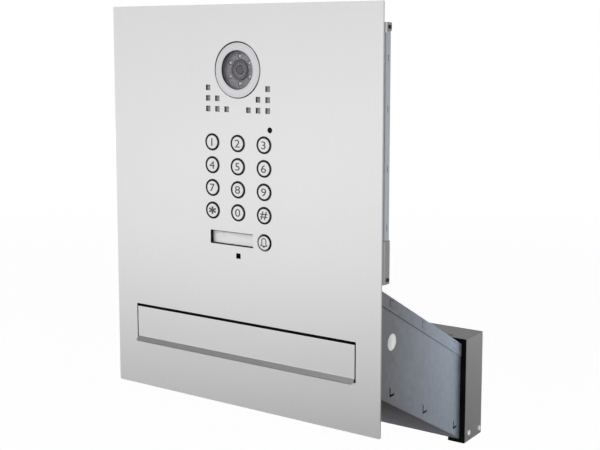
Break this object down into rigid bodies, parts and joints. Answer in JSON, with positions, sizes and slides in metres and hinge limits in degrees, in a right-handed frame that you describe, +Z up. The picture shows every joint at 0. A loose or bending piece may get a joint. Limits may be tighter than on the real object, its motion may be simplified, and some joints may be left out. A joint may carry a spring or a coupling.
{
  "type": "mailbox with video intercom",
  "caption": "Through-the-wall letterbox with a video door station: steel panel with camera eye, keypad, bell button and letter flap, sloping chute and rear casing with a lockable door.",
  "frame": {"origin": "middle of the front panel's bottom edge, on the wall face that the panel's back lies on", "axes": "+Z up, the front faces -Y, +Y goes into the wall along the chute, +X to the right seen from the front"},
  "size_m": [0.39, 0.2845, 0.5575],
  "materials": {
    "panel_steel": "fine vertical brushing",
    "polished_steel": "polished",
    "turned_steel": "turned, satin",
    "key_metal": "satin",
    "galvanised_sheet": "galvanised, fine grain",
    "frame_steel": "cold rolled",
    "casing_steel": "brushed",
    "zinc_plated": "zinc plated",
    "dark_screw": "blackened",
    "black_plastic": "fine grain",
    "clear_window": "clear",
    "lens_glass": "coated",
    "led_resin": "smoked",
    "circuit_green": "solder mask",
    "white_card": "paper",
    "grey_rubber": "matt",
    "black_rubber": "matt",
    "speaker_cone": "coated paper",
    "mesh_steel": "woven",
    "terminal_plastic": "moulded",
    "lock_brass": "nickel plated",
    "foam_seal": "closed cell foam"
  },
  "bodies": {
    "station": {"back_box": "galvanised_sheet", "bell_ring": "polished_steel", "board_screws": "zinc_plated", "board_spacers": "zinc_plated", "box_clips": "frame_steel", "box_frame": "frame_steel", "box_screws": "dark_screw", "cable_grommet": "black_rubber", "camera_barrel": "black_plastic", "camera_board": "circuit_green", "camera_housing": "black_plastic", "camera_lens": "lens_glass", "camera_ring": "turned_steel", "camera_window": "clear_window", "casing_rivets": "turned_steel", "casing_screws": "zinc_plated", "casing_seal": "foam_seal", "chute_cover": "galvanised_sheet", "chute_tray": "galvanised_sheet", "door_pins": "turned_steel", "flap_brackets": "frame_steel", "flap_buffers": "black_rubber", "flap_pin": "turned_steel", "front_panel": "panel_steel", "ir_leds": "led_resin", "key_mat": "grey_rubber", "keypad_board": "circuit_green", "keypad_frame": "black_plastic", "light_sensor": "lens_glass", "main_board": "circuit_green", "microphone": "turned_steel", "nameplate_backing": "black_plastic", "nameplate_card": "white_card", "nameplate_window": "clear_window", "panel_studs": "zinc_plated", "rear_casing": "casing_steel", "speaker": "speaker_cone", "speaker_duct": "black_plastic", "speaker_mesh": "mesh_steel", "stud_nuts": "zinc_plated", "terminal_block": "terminal_plastic"},
    "flap": {"slot_flap": "panel_steel"},
    "door": {"rear_door": "casing_steel", "lock_body": "lock_brass", "lock_nut": "zinc_plated"},
    "lock_plug_and_cam": {"lock_plug": "lock_brass", "lock_cam": "zinc_plated"},
    "key_1": {"key_1": "key_metal"},
    "key_2": {"key_2": "key_metal"},
    "key_3": {"key_3": "key_metal"},
    "key_4": {"key_4": "key_metal"},
    "key_5": {"key_5": "key_metal"},
    "key_6": {"key_6": "key_metal"},
    "key_7": {"key_7": "key_metal"},
    "key_8": {"key_8": "key_metal"},
    "key_9": {"key_9": "key_metal"},
    "key_star": {"key_star": "key_metal"},
    "key_0": {"key_0": "key_metal"},
    "key_hash": {"key_hash": "key_metal"},
    "bell_button": {"bell_button": "key_metal"}
  },
  "joints": [
    {"name": "flap_hinge", "type": "hinge", "parent": "station", "child": "flap", "pos_m": [0, 0.0032, 0.1], "axis": [-1, 0, 0], "range_deg": [0, 85]},
    {"name": "door_hinge", "type": "hinge", "parent": "station", "child": "door", "pos_m": [0, 0.267, -0.0688], "axis": [-1, 0, 0], "range_deg": [0, 90]},
    {"name": "lock_turn", "type": "hinge", "parent": "door", "child": "lock_plug_and_cam", "pos_m": [0, 0.2654, 0.03301], "axis": [0, -1, 0], "range_deg": [0, 90]},
    {"name": "key_1_press", "type": "slide", "parent": "station", "child": "key_1", "axis": [0, 1, 0], "range_m": [0, 0.001], "stiffness_N_per_m": 800, "springref_m": -0.001},
    {"name": "key_2_press", "type": "slide", "parent": "station", "child": "key_2", "axis": [0, 1, 0], "range_m": [0, 0.001], "stiffness_N_per_m": 800, "springref_m": -0.001},
    {"name": "key_3_press", "type": "slide", "parent": "station", "child": "key_3", "axis": [0, 1, 0], "range_m": [0, 0.001], "stiffness_N_per_m": 800, "springref_m": -0.001},
    {"name": "key_4_press", "type": "slide", "parent": "station", "child": "key_4", "axis": [0, 1, 0], "range_m": [0, 0.001], "stiffness_N_per_m": 800, "springref_m": -0.001},
    {"name": "key_5_press", "type": "slide", "parent": "station", "child": "key_5", "axis": [0, 1, 0], "range_m": [0, 0.001], "stiffness_N_per_m": 800, "springref_m": -0.001},
    {"name": "key_6_press", "type": "slide", "parent": "station", "child": "key_6", "axis": [0, 1, 0], "range_m": [0, 0.001], "stiffness_N_per_m": 800, "springref_m": -0.001},
    {"name": "key_7_press", "type": "slide", "parent": "station", "child": "key_7", "axis": [0, 1, 0], "range_m": [0, 0.001], "stiffness_N_per_m": 800, "springref_m": -0.001},
    {"name": "key_8_press", "type": "slide", "parent": "station", "child": "key_8", "axis": [0, 1, 0], "range_m": [0, 0.001], "stiffness_N_per_m": 800, "springref_m": -0.001},
    {"name": "key_9_press", "type": "slide", "parent": "station", "child": "key_9", "axis": [0, 1, 0], "range_m": [0, 0.001], "stiffness_N_per_m": 800, "springref_m": -0.001},
    {"name": "key_star_press", "type": "slide", "parent": "station", "child": "key_star", "axis": [0, 1, 0], "range_m": [0, 0.001], "stiffness_N_per_m": 800, "springref_m": -0.001},
    {"name": "key_0_press", "type": "slide", "parent": "station", "child": "key_0", "axis": [0, 1, 0], "range_m": [0, 0.001], "stiffness_N_per_m": 800, "springref_m": -0.001},
    {"name": "key_hash_press", "type": "slide", "parent": "station", "child": "key_hash", "axis": [0, 1, 0], "range_m": [0, 0.001], "stiffness_N_per_m": 800, "springref_m": -0.001},
    {"name": "bell_button_press", "type": "slide", "parent": "station", "child": "bell_button", "axis": [0, 1, 0], "range_m": [0, 0.001], "stiffness_N_per_m": 800, "springref_m": -0.001}
  ]
}
